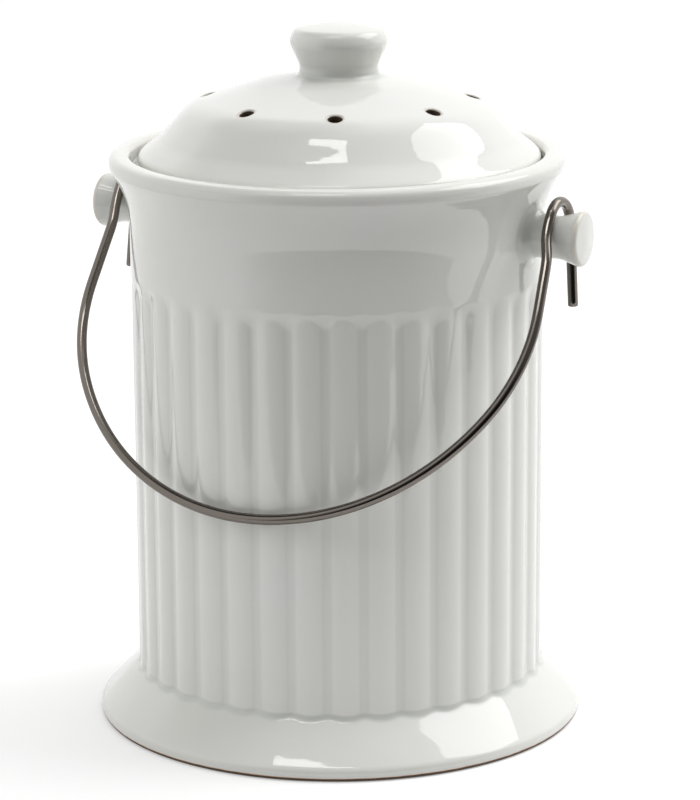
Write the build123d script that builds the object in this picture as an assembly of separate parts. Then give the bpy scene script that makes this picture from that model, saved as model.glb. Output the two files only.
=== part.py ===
from build123d import *
from math import acos, atan2, cos, degrees, hypot, pi, radians, sin, tan
import os

# Compost keeper: a reeded stoneware crock, its vented lid, a two-ply charcoal
# filter that presses into the lid, and a bent wire bail hooked on two lugs.
# Millimetres. +Z is up, the origin is the centre of the foot, the lugs lie
# along X and the bail hangs in front, towards -Y. A rise is measured up from
# the outline point before it, a drop down from the rim, an inset inwards.

# Crock wall and rim
wall_radius = 81.0
wall_thickness = 6.5
rim_height = 225.4
rim_overhang = 7.7
rim_lip = 5.4
lip_round = 0.6
rim_outer_round = 3.4
rim_inner_round = 2.4
flare_round = 39.5
flare_run = 0.6
floor_height = 9.5
bore_corner_round = 9.0

# Foot
foot_overhang = 15.0
foot_edge_height = 4.2
foot_edge_round = 3.4
foot_slope_rise = 15.3
foot_slope_round = 4.0
foot_ring_width = 9.0
foot_recess = 2.0
foot_ring_round = 0.8

# Reeds
reed_count = 36
reed_turn = 1.5
reed_round = 15.0
reed_sink = 0.3
reed_top_drop = 47.7
reed_shoulder_rise = 7.0
reed_shoulder_round = 2.0
reed_top_overlap = 2.0
reed_foot_overlap = 8.0
core_depth = 0.3
reed_bed = 2.0

# Lid seat and lid
seat_width = 5.7
seat_drop = 5.8
seat_round = 0.8
lid_gap = 1.8
lid_brim = 5.0
lid_edge_round = 1.8
lid_foot_round = 0.6
lid_thickness = 5.6
lid_flare_inset = 9.1
lid_flare_rise = 6.8
lid_flare_round = 12.0
lid_shoulder_inset = 11.2
lid_shoulder_rise = 12.9
lid_shoulder_round = 20.0
lid_crown_radius = 29.6
lid_crown_rise = 8.6
lid_crown_round = 40.0
lid_neck_rise = 1.7
lid_shift = 1.0
lid_shift_angle = 25.0
lid_turn = 0.7
skirt_gap = 1.7
skirt_wall = 4.4
skirt_depth = 13.6
skirt_round = 1.0
stop_width = 4.5
stop_round = 0.4
stop_flare_round = 6.0

# Knob
knob_neck_radius = 15.2
knob_neck_rise = 4.4
knob_neck_round = 2.0
knob_swell = 4.1
knob_swell_rise = 8.7
knob_waist_round = 3.0
knob_bulge_round = 3.2
knob_shoulder_inset = 1.9
knob_shoulder_rise = 5.2
knob_shoulder_round = 3.4
knob_crown_rise = 2.7

# Vents
vent_count = 8
vent_inset = 6.3
vent_diameter = 5.6
vent_round = 0.8
vent_overrun = 5.0

# Lugs
lug_drop = 27.4
lug_neck_radius = 8.3
lug_neck_length = 6.0
lug_root_round = 4.0
lug_head_flare = 2.4
lug_head_length = 8.6
lug_head_round = 1.6
lug_flare_round = 16.0
lug_dome = 1.0

# Bail
wire_diameter = 4.0
wire_clearance = 0.3
wire_end_round = 0.5
rim_clearance = 1.1
hook_pinch = 1.2
hook_tail = 29.2
hook_flare = 2.1
tail_room = 0.8
leg_bend_drop = 4.3
leg_knee_drop = 14.0
leg_bend = 25.0
leg_knee = 0.8
leg_splay = 2.5
leg_lean = 2.0
shoulder_bend = 76.0
bow_angle = 60.0
bow_shift = -1.1
bail_rest_angle = 35.2

# Filter
pad_clearance = 0.3
pad_recess = 4.0
pad_thickness = 5.0
pad_arris = 0.5
felt_thickness = 1.8
felt_margin = 1.0

# Sizes that follow from the ones above
edge_tolerance = 0.01
wire_radius = wire_diameter / 2
foot_radius = wall_radius + foot_overhang
foot_slope_top = foot_edge_height + foot_slope_rise
bore_radius = wall_radius - wall_thickness
rim_radius = wall_radius + rim_overhang
rim_edge_height = rim_height - rim_lip
reed_pitch = 2 * pi / reed_count
reed_crest = wall_radius - reed_sink
reed_station = reed_crest - reed_round
reed_half = reed_station * sin(reed_pitch / 2)
groove_radius = reed_station * cos(reed_pitch / 2) + (reed_round**2 - reed_half**2) ** 0.5
reed_top = rim_height - reed_top_drop
reed_bottom = foot_slope_top - reed_foot_overlap
core_radius = groove_radius - core_depth
core_bottom = foot_edge_height + foot_slope_rise * (foot_radius - core_radius) / foot_overhang
core_top = reed_top - reed_shoulder_rise
seat_height = rim_height - seat_drop
seat_radius = bore_radius + seat_width
lid_radius = seat_radius - lid_gap
lid_flare_radius = lid_radius - lid_flare_inset
lid_shoulder_radius = lid_flare_radius - lid_shoulder_inset
vent_ring_radius = lid_shoulder_radius - vent_inset
brim_height = seat_height + lid_brim
lid_flare_height = brim_height + lid_flare_rise
lid_shoulder_height = lid_flare_height + lid_shoulder_rise
lid_crown_height = lid_shoulder_height + lid_crown_rise
lid_neck_height = lid_crown_height + lid_neck_rise
skirt_radius = bore_radius - skirt_gap
skirt_bottom = seat_height - skirt_depth
pad_bore = skirt_radius - skirt_wall
pad_radius = pad_bore - pad_clearance
pad_stop = skirt_bottom + pad_recess + felt_thickness + pad_thickness
stop_radius = pad_bore - stop_width
knob_radius = knob_neck_radius + knob_swell
knob_crown_radius = knob_radius - knob_shoulder_inset
lid_offset = (
    lid_shift * cos(radians(lid_shift_angle)),
    lid_shift * sin(radians(lid_shift_angle)),
)
lug_height = rim_height - lug_drop
lug_head_radius = lug_neck_radius + lug_head_flare
hook_offset = lug_neck_radius + wire_clearance + wire_radius
hook_bend = hook_offset - hook_pinch
hook_station = rim_radius + rim_clearance + wire_radius
lug_reach = hook_station + lug_neck_length / 2 + lug_head_length
bail_tilt = radians(bail_rest_angle)


def turned(outline, round_radii):
    """Solid turned about Z from half an outline that starts and ends on the axis."""
    with BuildPart() as body:
        with BuildSketch(Plane.XZ):
            with BuildLine():
                path = FilletPolyline(*outline, radius=round_radii)
                Line(path @ 1, path @ 0)
            make_face()
        revolve(axis=Axis.Z)
    return body.part


def flare_height():
    """Height on the wall of the corner whose fillet flares out to the rim's edge."""
    slope = acos((flare_round - rim_overhang) / hypot(flare_round, flare_run))
    slope = slope - atan2(flare_run, flare_round)
    side = flare_round * tan(slope / 2) + flare_run
    return rim_edge_height - side * cos(slope)


def crock_body():
    """Turned crock: foot, core that carries the reeds, neck, flared lip, lid seat, bore."""
    ring_inner = foot_radius - foot_edge_round - foot_ring_width
    corners = [
        ((0, foot_recess), None),
        ((ring_inner, foot_recess), foot_ring_round),
        ((ring_inner + foot_recess, 0), 0),
        ((foot_radius - foot_ring_round, 0), 0),
        ((foot_radius, foot_ring_round), 0),
        ((foot_radius, foot_edge_height), foot_edge_round),
        ((core_radius, core_bottom), foot_slope_round),
        ((core_radius, core_top), 0),
        ((wall_radius, reed_top), reed_shoulder_round),
        ((wall_radius, flare_height()), flare_round),
        ((rim_radius, rim_edge_height), lip_round),
        ((rim_radius, rim_height), rim_outer_round),
        ((seat_radius, rim_height), rim_inner_round),
        ((seat_radius, seat_height), seat_round),
        ((bore_radius, seat_height), seat_round),
        ((bore_radius, floor_height), bore_corner_round),
        ((0, floor_height), None),
    ]
    outline = [point for point, _ in corners]
    round_radii = [radius for _, radius in corners[1:-1]]
    return turned(outline, round_radii)


def reeds():
    """Ring of convex reeds that meet in grooves, from inside the foot to inside the neck."""

    def place(radius, steps):
        azimuth = radians(reed_turn) + steps * reed_pitch
        return radius * cos(azimuth), radius * sin(azimuth)

    with BuildPart() as ring:
        with BuildSketch(Plane.XY.offset(reed_bottom)):
            with BuildLine():
                for index in range(reed_count):
                    groove = place(groove_radius, index)
                    crest = place(reed_crest, index + 0.5)
                    ThreePointArc(groove, crest, place(groove_radius, index + 1))
            make_face()
            Circle(core_radius - reed_bed, mode=Mode.SUBTRACT)
        extrude(amount=reed_top + reed_top_overlap - reed_bottom)
    return ring.part


def lug():
    """Mushroom lug along +X, turned about its own axis and rooted in the wall."""
    root = (bore_radius + wall_radius) / 2
    neck_end = hook_station + lug_neck_length / 2
    corners = [
        ((0, root), None),
        ((lug_neck_radius, root), 0),
        ((lug_neck_radius, neck_end), lug_flare_round),
        ((lug_head_radius, lug_reach - lug_head_round), 0),
        ((lug_head_radius, lug_reach), lug_head_round),
        ((0, lug_reach + lug_dome), None),
    ]
    outline = [point for point, _ in corners]
    round_radii = [radius for _, radius in corners[1:-1]]
    upright = turned(outline, round_radii)
    return Pos(0, 0, lug_height) * Rot(0, 90, 0) * upright


def is_lug_root(edge):
    """True for a curved edge where a lug's neck runs into the wall."""
    if edge.geom_type == GeomType.LINE:
        return False
    point = edge @ 0.5
    from_axis = hypot(point.Y, point.Z - lug_height)
    return abs(from_axis - lug_neck_radius) < edge_tolerance and abs(point.X) < hook_station


def make_crock():
    """Crock with its reeds and its two filleted lugs, one fired piece.

    The body's seam is turned to the back, because the lug fillets fail across it.
    """
    right_lug = lug()
    left_lug = Rot(0, 0, 180) * right_lug
    joined = Rot(0, 0, 90) * crock_body() + right_lug + left_lug
    roots = joined.edges().filter_by(is_lug_root)
    return fillet(roots, lug_root_round) + reeds()


def lid_outline():
    """Half outline of the lid's glazed top, from its brim to the knob's foot."""
    return [
        ((lid_radius, seat_height), lid_foot_round),
        ((lid_radius, brim_height), lid_edge_round),
        ((lid_flare_radius, lid_flare_height), lid_flare_round),
        ((lid_shoulder_radius, lid_shoulder_height), lid_shoulder_round),
        ((lid_crown_radius, lid_crown_height), lid_crown_round),
        ((knob_neck_radius, lid_neck_height), knob_neck_round),
    ]


def knob_outline():
    """Half outline of the knob, from its neck to the middle of its crown."""
    waist_height = lid_neck_height + knob_neck_rise
    bulge_height = waist_height + knob_swell_rise
    shoulder_height = bulge_height + knob_shoulder_rise
    return [
        ((knob_neck_radius, waist_height), knob_waist_round),
        ((knob_radius, bulge_height), knob_bulge_round),
        ((knob_crown_radius, shoulder_height), knob_shoulder_round),
        ((0, shoulder_height + knob_crown_rise), None),
    ]


def lid_hollow_outline():
    """Half outline of the lid's underside: dome, filter stop and skirt bore."""
    hollow_shoulder = lid_shoulder_radius - lid_thickness / 2
    return [
        ((0, lid_neck_height - lid_thickness), None),
        ((lid_crown_radius, lid_crown_height - lid_thickness), lid_crown_round),
        ((hollow_shoulder, lid_shoulder_height - lid_thickness), lid_shoulder_round - lid_thickness),
        ((stop_radius, brim_height), stop_flare_round),
        ((stop_radius, pad_stop), stop_round),
        ((pad_bore, pad_stop), 0),
        ((pad_bore, skirt_bottom), skirt_round),
        ((skirt_radius, skirt_bottom), skirt_round),
        ((skirt_radius, seat_height), stop_round),
    ]


def vent_place():
    """Height of the dome at the vent ring, and its slope there in degrees."""
    run = lid_shoulder_radius - lid_crown_radius
    share = (vent_ring_radius - lid_crown_radius) / run
    height = lid_crown_height - share * lid_crown_rise
    return height, degrees(atan2(lid_crown_rise, run))


def vent_cutter(azimuth):
    """Pin square to the dome at the vent ring, long enough to pass the shell."""
    height, slope = vent_place()
    length = 2 * (lid_thickness + vent_overrun)
    pin = Rot(0, slope, 0) * Cylinder(vent_diameter / 2, length)
    return Rot(0, 0, azimuth) * Pos(vent_ring_radius, 0, height) * pin


def is_vent_mouth(edge):
    """True for the outer edge of a vent, which the glaze rounds."""
    point = edge @ 0.5
    height, _ = vent_place()
    from_ring = abs(hypot(point.X, point.Y) - vent_ring_radius)
    return from_ring < vent_diameter and abs(point.Z - height) < lid_thickness / 2


def make_lid():
    """Domed lid with its knob, vents and locating skirt, in its loose seat."""
    corners = lid_hollow_outline() + lid_outline() + knob_outline()
    outline = [point for point, _ in corners]
    round_radii = [radius for _, radius in corners[1:-1]]
    shell = turned(outline, round_radii)
    pitch = 360 / vent_count
    vents = [vent_cutter((index + 0.5) * pitch + lid_turn) for index in range(vent_count)]
    pierced = shell - vents
    mouths = pierced.edges().filter_by(is_vent_mouth)
    return Pos(*lid_offset, 0) * fillet(mouths, vent_round)


def make_charcoal_pad():
    """Pressed carbon pad that sits against the stop inside the lid's skirt."""
    outline = [
        (0, pad_stop - pad_thickness),
        (pad_radius, pad_stop - pad_thickness),
        (pad_radius, pad_stop),
        (0, pad_stop),
    ]
    return Pos(*lid_offset, 0) * turned(outline, [pad_arris, pad_arris])


def make_felt_cover():
    """Felt ply under the pad, on the side that faces the waste."""
    top = pad_stop - pad_thickness
    radius = pad_radius - felt_margin
    outline = [
        (0, top - felt_thickness),
        (radius, top - felt_thickness),
        (radius, top),
        (0, top),
    ]
    return Pos(*lid_offset, 0) * turned(outline, [pad_arris, 0])


def bail_reach():
    """Distance down the bail from the lug axis to the bow, which rests on the wall."""
    contact = wall_radius + wire_radius + wire_clearance
    return (contact - hook_offset * cos(bail_tilt)) / sin(bail_tilt)


def hook_path(side):
    """Hook and its tail, drawn on the right; side is 1 for the right hook, -1 for the left."""
    centre_out = hook_bend - hook_offset
    centre_up = (hook_offset - hook_bend - centre_out * cos(bail_tilt)) / sin(bail_tilt)
    leg_out = centre_out + hook_bend * cos(bail_tilt)
    leg_up = centre_up + hook_bend * sin(bail_tilt)
    tail_out = centre_out - hook_bend - tail_room
    flare = hook_flare - side * leg_lean / 2
    leg_start = Vector(hook_station, -leg_out, lug_height + leg_up)
    tail_start = Vector(hook_station + flare, -tail_out, lug_height + centre_up)
    up_leg = Vector(0, sin(bail_tilt), cos(bail_tilt))
    bend = Edge.make_tangent_arc(leg_start, up_leg, tail_start)
    down_tail = bend % 1
    length = (centre_up + hook_tail) / -down_tail.Z
    tail = Edge.make_line(tail_start + down_tail * length, tail_start)
    drop = centre_out * sin(bail_tilt) - centre_up * cos(bail_tilt)
    return [tail, bend], drop


def bow_path(side, drop):
    """Leg and half the bow in the bail's plane, drawn on the right, as hook_path is."""
    reach = bail_reach()
    lean = side * leg_lean
    half_width = hook_station + leg_splay + lean - side * bow_shift
    bow_turn = radians(bow_angle)
    bow_radius = (half_width - shoulder_bend * (1 - sin(bow_turn))) / sin(bow_turn)
    bow_centre = Vector(side * bow_shift, bow_radius - reach)
    toward = Vector(sin(bow_turn), -cos(bow_turn))
    joint = bow_centre + toward * bow_radius
    shoulder_centre = joint - toward * shoulder_bend
    corner = Vector(hook_station, -leg_bend_drop)
    knee = Vector(hook_station + leg_knee + lean, -leg_knee_drop)
    to_knee = knee - shoulder_centre
    spread = acos(shoulder_bend / to_knee.length)
    heading = atan2(to_knee.Y, to_knee.X) - spread
    tangent = shoulder_centre + Vector(cos(heading), sin(heading)) * shoulder_bend
    middle = (heading - radians(90) + bow_turn) / 2
    shoulder = shoulder_centre + Vector(cos(middle), sin(middle)) * shoulder_bend
    half_turn = bow_turn / 2
    halfway = bow_centre + Vector(sin(half_turn), -cos(half_turn)) * bow_radius
    bottom = bow_centre - Vector(0, bow_radius)
    outward = (0, -cos(bail_tilt), sin(bail_tilt))
    origin = (0, hook_offset * outward[1], lug_height + hook_offset * outward[2])
    plane = Plane(origin=origin, x_dir=(1, 0, 0), z_dir=outward)
    leg = FilletPolyline((hook_station, -drop), corner, knee, tangent, radius=leg_bend)
    edges = list(leg.edges()) + [
        Edge.make_three_point_arc(tangent, shoulder, joint),
        Edge.make_three_point_arc(joint, halfway, bottom),
    ]
    return [plane.from_local_coords(edge) for edge in edges]


def wire_half(side):
    """Centre line from the end of one hook's tail to the middle of the bow."""
    hook_edges, drop = hook_path(side)
    edges = hook_edges + bow_path(side, drop)
    return edges if side > 0 else [edge.mirror(Plane.YZ) for edge in edges]


def make_bail_handle():
    """Bent wire bail: wide bow, two splayed legs, and an open hook at each end.

    Its legs lean a little to the right, as bent by hand over pegs.
    """
    path = Wire(wire_half(1) + wire_half(-1))
    tips = [path @ 0, path @ 1]
    section = Plane(origin=tips[0], z_dir=path % 0) * Circle(wire_radius)
    wire = sweep(section, path=path)
    ends = []
    for edge in wire.edges():
        from_tip = min((edge @ 0.5 - tip).length for tip in tips)
        if abs(from_tip - wire_radius) < edge_tolerance:
            ends.append(edge)
    print("wire length", round(path.length, 1), "section times length", round(path.length * section.area))
    return fillet(ends, wire_end_round)


parts = {
    "crock": make_crock(),
    "lid": make_lid(),
    "charcoal_pad": make_charcoal_pad(),
    "felt_cover": make_felt_cover(),
    "bail_handle": make_bail_handle(),
}

os.makedirs("parts", exist_ok=True)
for name, shape in parts.items():
    shape.label = name
    export_step(shape, f"parts/{name}.step")
    print(name, "solids", len(shape.solids()), "volume", round(shape.volume), "valid", shape.is_valid)
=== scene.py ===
# %% [markdown]
# A stoneware compost keeper, dressed for its portrait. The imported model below
# is the fixed frame: it says how large each piece is, where it lies and what
# it moves with. This lesson gives every piece the skin and the finish that the
# kiln, the wire bender and the felt mill gave the real one.

# %% Load the frame
from math import acos, atan2, cos, hypot, pi, radians, sin, tan

import bmesh
import bpy
import numpy as np
from mathutils import Matrix, Vector, noise


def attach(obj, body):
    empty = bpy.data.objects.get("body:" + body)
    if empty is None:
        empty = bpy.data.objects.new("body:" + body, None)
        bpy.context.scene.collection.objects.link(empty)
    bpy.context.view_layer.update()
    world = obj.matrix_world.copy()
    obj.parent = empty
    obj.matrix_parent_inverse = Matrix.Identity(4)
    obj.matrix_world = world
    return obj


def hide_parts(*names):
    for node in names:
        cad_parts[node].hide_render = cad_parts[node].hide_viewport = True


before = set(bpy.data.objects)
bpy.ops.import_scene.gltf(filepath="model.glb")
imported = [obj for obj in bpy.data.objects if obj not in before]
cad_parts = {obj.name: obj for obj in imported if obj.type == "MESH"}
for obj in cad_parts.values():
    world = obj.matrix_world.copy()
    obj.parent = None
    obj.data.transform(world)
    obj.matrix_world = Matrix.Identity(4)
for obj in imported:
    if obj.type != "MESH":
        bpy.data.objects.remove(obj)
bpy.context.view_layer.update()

print("nodes", sorted(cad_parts))

# %% [markdown]
# Lengths are written in millimetres, as on the potter's drawing, and one
# factor turns them into the metres that the frame uses. What Blender puts into
# a new file is no part of the keeper, so it goes first.

# %% Millimetres and an empty stage
MM = 0.001


def drop_default_objects():
    """Removes the start-up cube, lamp and camera, if they are there."""
    for name in ("Cube", "Light", "Camera"):
        extra = bpy.data.objects.get(name)
        if extra is not None:
            bpy.data.objects.remove(extra)


drop_default_objects()

# %% [markdown]
# The photograph was taken with a long lens, from a little above the lid, with
# the keeper turned so that the right lug comes forward. A camera is a point, a
# direction and a field of view, so all three are written down as measured.

# %% The camera
camera_distance = 1331.3
camera_height = 461.1
camera_turn = 25.0
camera_pitch = 14.172
camera_yaw = 0.195
camera_roll = 0.340
sensor_height = 36.0
photo_height = 800
focal_pixels = 3470.0


def camera_matrix():
    """Place and attitude of the camera, from its turn, pitch, yaw and roll."""
    turn = radians(camera_turn)
    pitch = radians(camera_pitch)
    heading = turn - radians(camera_yaw)
    roll = radians(camera_roll)
    place = Vector((camera_distance * sin(turn), -camera_distance * cos(turn), camera_height)) * MM
    forward = Vector((-sin(heading) * cos(pitch), cos(heading) * cos(pitch), -sin(pitch)))
    level = Vector((cos(heading), sin(heading), 0.0))
    upward = level.cross(forward)
    right = level * cos(roll) - upward * sin(roll)
    up = upward * cos(roll) + level * sin(roll)
    attitude = Matrix((right, up, -forward)).transposed()
    return Matrix.Translation(place) @ attitude.to_4x4()


camera_data = bpy.data.cameras.new("portrait_camera")
camera_data.sensor_fit = "VERTICAL"
camera_data.sensor_height = sensor_height
camera_data.lens = focal_pixels * sensor_height / photo_height
camera_data.clip_start = 0.05
camera_data.clip_end = 60.0
camera = bpy.data.objects.new("portrait_camera", camera_data)
bpy.context.scene.collection.objects.link(camera)
camera.matrix_world = camera_matrix()
bpy.context.scene.camera = camera
print("lens", round(camera_data.lens, 1), "mm at", [round(v, 3) for v in camera.location])

# %% [markdown]
# Everything the potter made was turned, so it starts as half an outline: a few
# corners, each with the radius that tool, sponge and glaze left on it. The
# corners become arcs, drawn with points a quarter of a millimetre apart.

# %% Outlines with rounded corners
fine_step = 0.25


def arc_corner(before, corner, after, radius):
    """Points of the arc that rounds one corner of an outline."""
    into = (before - corner) / np.linalg.norm(before - corner)
    out = (after - corner) / np.linalg.norm(after - corner)
    half = acos(np.clip(into @ out, -1.0, 1.0)) / 2
    reach = radius / tan(half)
    middle = into + out
    centre = corner + middle / np.linalg.norm(middle) * radius / sin(half)
    start = corner + into * reach - centre
    end = corner + out * reach - centre
    sweep = pi - 2 * half
    count = max(4, int(radius * sweep / fine_step))
    shares = np.linspace(0.0, 1.0, count + 1)
    weights = [(sin((1 - t) * sweep) / sin(sweep), sin(t * sweep) / sin(sweep)) for t in shares]
    return [centre + start * a + end * b for a, b in weights]


def rounded_outline(corners):
    """Fine points along an outline of (radius from axis, height, rounding) corners."""
    places = [np.array(corner[:2], float) for corner in corners]
    points = [places[0]]
    for index in range(1, len(corners) - 1):
        rounding = corners[index][2]
        if rounding > 0:
            points += arc_corner(places[index - 1], places[index], places[index + 1], rounding)
        else:
            points.append(places[index])
    points.append(places[-1])
    return np.array(points)


example = rounded_outline([(0.0, 0.0, 0.0), (10.0, 0.0, 3.0), (10.0, 10.0, 0.0)])
print("a square corner rounded by 3 mm takes", len(example), "points")

# %% [markdown]
# Then the whole line is blurred a little, because glaze flows: on the real pot
# no arc starts or stops abruptly, and a glossy surface shows every such place
# as a kink in its reflections. The line is first given even steps, so that the
# blur is the same everywhere.

# %% Lines softened by glaze
def even_steps(points, step):
    """The same line with its points evenly spaced."""
    lengths = np.concatenate([[0.0], np.cumsum(np.linalg.norm(np.diff(points, axis=0), axis=1))])
    count = int(round(lengths[-1] / step))
    wanted = np.linspace(0.0, lengths[-1], count + 1)
    columns = [np.interp(wanted, lengths, points[:, axis]) for axis in range(points.shape[1])]
    return np.stack(columns, axis=1)


def glaze_blurred(points, spread):
    """Blurs a fine, even line along its length; its two ends stay."""
    reach = int(4 * spread / fine_step)
    offsets = np.arange(-reach, reach + 1) * fine_step
    weights = np.exp(-0.5 * (offsets / spread) ** 2)
    weights /= weights.sum()
    padded = np.concatenate([
        2 * points[0] - points[reach:0:-1],
        points,
        2 * points[-1] - points[-2:-reach - 2:-1],
    ])
    blurred = [np.convolve(padded[:, axis], weights, "valid") for axis in range(points.shape[1])]
    return np.stack(blurred, axis=1)


softened = glaze_blurred(even_steps(example, fine_step), 1.0)
drawn_in = (example[:, 0] - example[:, 1]).max() - (softened[:, 0] - softened[:, 1]).max()
print("a blur of 1 mm draws that corner in by", round(float(drawn_in) / 2**0.5, 2), "mm")

# %% [markdown]
# A mesh doesn't need all those points. It gets a row wherever the line has
# turned by a few degrees, or has run far enough without turning. A closed end
# is drawn past the axis first, so that the blur treats both sides alike, and is
# cut off there.

# %% Rows where the line turns
def thinned(points, turn, gap):
    """Keeps a point wherever the line has turned enough or run far enough."""
    kept = [0]
    turned_by = 0.0
    run = 0.0
    for index in range(1, len(points) - 1):
        before = points[index] - points[index - 1]
        after = points[index + 1] - points[index]
        cosine = before @ after / (np.linalg.norm(before) * np.linalg.norm(after))
        turned_by += acos(np.clip(cosine, -1.0, 1.0))
        run += np.linalg.norm(before)
        if turned_by >= turn or run >= gap(points[index]):
            kept.append(index)
            turned_by = 0.0
            run = 0.0
    kept.append(len(points) - 1)
    return points[kept]


def up_to_axis(points):
    """Keeps a line up to the point where it crosses the axis."""
    crossing = int(np.argmax(points[1:, 0] <= 0)) + 1
    before = points[crossing - 1]
    after = points[crossing]
    share = before[0] / (before[0] - after[0])
    return np.vstack([points[:crossing], before + (after - before) * share])


print("of that line", len(thinned(softened, radians(5.0), lambda point: 4.0)), "points are kept")

# %% [markdown]
# A turned piece is a grid: rows along the outline, columns round the axis. A
# lug or a vent interrupts the grid. There a rectangle of cells is left out and
# its edge is led, ring by ring, onto the round root of the lug or the round
# lip of the vent, so that glaze and reflections run on without a seam. Boolean
# cuts would be quicker to write, but leave long thin faces that shade badly.

# %% A shell of rows and columns
class Shell:
    """Points and faces of one turned piece, with openings for what interrupts it."""

    def __init__(self, place, rows, columns):
        self.place = place
        self.rows = rows
        self.columns = columns
        self.points = []
        self.faces = []
        self.grid = {}
        self.left_out = set()
        self.bare_shares = {}

    def add_point(self, point):
        """Stores a point in millimetres and returns its number."""
        self.points.append(tuple(point))
        return len(self.points) - 1

    def at(self, row, column):
        """Number of the grid's point at a row and a column, made when first asked for."""
        key = (row, column % self.columns)
        if key not in self.grid:
            self.grid[key] = self.add_point(self.place(*key))
        return self.grid[key]

    def leave_out(self, low_row, high_row, low_column, high_column):
        """Opens a rectangle of cells and returns its edge as a closed loop of (row, column)."""
        for row in range(low_row, high_row):
            for column in range(low_column, high_column):
                self.left_out.add((row, column % self.columns))
        edge = [(low_row, column) for column in range(low_column, high_column)]
        edge += [(row, high_column) for row in range(low_row, high_row)]
        edge += [(high_row, column) for column in range(high_column, low_column, -1)]
        edge += [(row, low_column) for row in range(high_row, low_row, -1)]
        return edge

    def add_ring(self, points, bare_share=0.0):
        """Stores a closed ring of points, whose clay is bare by a share, and returns their numbers."""
        ring = [self.add_point(point) for point in points]
        self.bare_shares.update(dict.fromkeys(ring, bare_share))
        return ring

    def bridge(self, ring, next_ring):
        """Joins two rings of equal count with four-sided faces."""
        count = len(ring)
        for index in range(count):
            after = (index + 1) % count
            self.faces.append((ring[index], ring[after], next_ring[after], next_ring[index]))

    def fan(self, ring, tip):
        """Closes a ring onto one point."""
        count = len(ring)
        for index in range(count):
            self.faces.append((ring[index], ring[(index + 1) % count], tip))

    def fill_grid(self):
        """Makes the faces of every cell that isn't left out."""
        for row in range(self.rows - 1):
            for column in range(self.columns):
                if (row, column) in self.left_out:
                    continue
                self.faces.append((
                    self.at(row, column),
                    self.at(row, column + 1),
                    self.at(row + 1, column + 1),
                    self.at(row + 1, column),
                ))

    def cap(self, row, tip):
        """Closes the first or last row onto a point on the axis."""
        self.fan([self.at(row, column) for column in range(self.columns)], self.add_point(tip))


# %% [markdown]
# Every piece is made in millimetres and becomes metres only here. Its faces are
# turned outwards together, because glaze and bumps need to know which side is
# out.

# %% A piece from points and faces
def new_piece(name, points, faces, shift=(0.0, 0.0)):
    """A smooth-shaded mesh object from points in millimetres, facing outwards."""
    mesh = bpy.data.meshes.new(name)
    moved = [((x + shift[0]) * MM, (y + shift[1]) * MM, z * MM) for x, y, z in points]
    mesh.from_pydata(moved, [], faces)
    work = bmesh.new()
    work.from_mesh(mesh)
    bmesh.ops.recalc_face_normals(work, faces=work.faces)
    work.to_mesh(mesh)
    work.free()
    mesh.shade_smooth()
    piece = bpy.data.objects.new(name, mesh)
    bpy.context.scene.collection.objects.link(piece)
    print(name, len(mesh.vertices), "points", len(mesh.polygons), "faces")
    return piece


# %% [markdown]
# The crock. Its outline runs from the middle of the base, round the foot, up
# the wall, over the rim and ledge and down the bore. The sizes are those of
# the turned solid that it stands for.

# %% Sizes of the crock
wall_radius = 81.0
bore_radius = 74.5
rim_radius = 88.7
rim_height = 225.4
rim_edge = 5.4
flare_height = 209.2
flare_round = 39.0
floor_height = 9.5
seat_radius = 80.2
seat_height = 219.6
foot_radius = 96.0
foot_edge_height = 4.2
foot_slope_top = 19.5
foot_ring_inner = 83.6
foot_recess = 2.0
crock_blur = 0.7

# %% Sizes of the reeds
reed_count = 36
reed_pitch = 2 * pi / reed_count
reed_turn = radians(1.5)
reed_round = 15.0
reed_sink = 0.3
reed_crest = wall_radius - reed_sink
reed_axis = reed_crest - reed_round
reed_half = reed_axis * sin(reed_pitch / 2)
groove_radius = reed_axis * cos(reed_pitch / 2) + (reed_round**2 - reed_half**2) ** 0.5
reed_top = rim_height - 47.7
core_radius = groove_radius - 0.3
core_top = reed_top - 7.0
foot_slope = (foot_slope_top - foot_edge_height) / (foot_radius - wall_radius)
core_bottom = foot_edge_height + foot_slope * (foot_radius - core_radius)
print("reeds", reed_count, "grooves", round(reed_crest - groove_radius, 2), "mm deep")


# %% Outline of the crock
def crock_outline():
    """Blurred outline of the crock, split where it crosses the rim's outer edge."""
    corners = [
        (0.0, foot_recess, 0.0),
        (foot_ring_inner, foot_recess, 0.8),
        (foot_ring_inner + foot_recess, 0.0, 0.8),
        (foot_radius - 0.8, 0.0, 0.3),
        (foot_radius - 0.1, 0.8, 0.3),
        (foot_radius, foot_edge_height, 3.2),
        (core_radius, core_bottom, 4.0),
        (core_radius, core_top, 0.0),
        (wall_radius, reed_top, 2.0),
        (wall_radius, flare_height, flare_round),
        (rim_radius, rim_height - rim_edge, 0.9),
        (rim_radius, rim_height, 3.4),
        (seat_radius, rim_height, 2.4),
        (seat_radius, seat_height, 0.8),
        (bore_radius, seat_height, 1.0),
        (bore_radius, floor_height, 9.0),
        (0.0, floor_height, 0.0),
    ]
    return glaze_blurred(even_steps(rounded_outline(corners), fine_step), crock_blur)


outline = crock_outline()
outer_end = int(np.argmax(outline[:, 1]))
widest = int(np.argmax(outline[:outer_end, 0]))
outer_wall = outline[widest:outer_end + 1]
print("outline points", len(outline), "highest", outline[outer_end].round(2))

# %% [markdown]
# The wall is reeded: thirty-six rounded ribs stand side by side and meet in
# narrow grooves, as they came out of the mould. A reed is part of a cylinder.
# Beneath the neck the core slopes inwards, so each groove ends there in a small
# scoop, and at the foot the reeds run out in round toes. Glaze fills every
# crease, which a smooth maximum of the shapes gives exactly, at every point.

# %% Reeds
groove_softness = 1.5
toe_softness = 1.1
neck_fade = 0.3
columns_per_reed = 24


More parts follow.
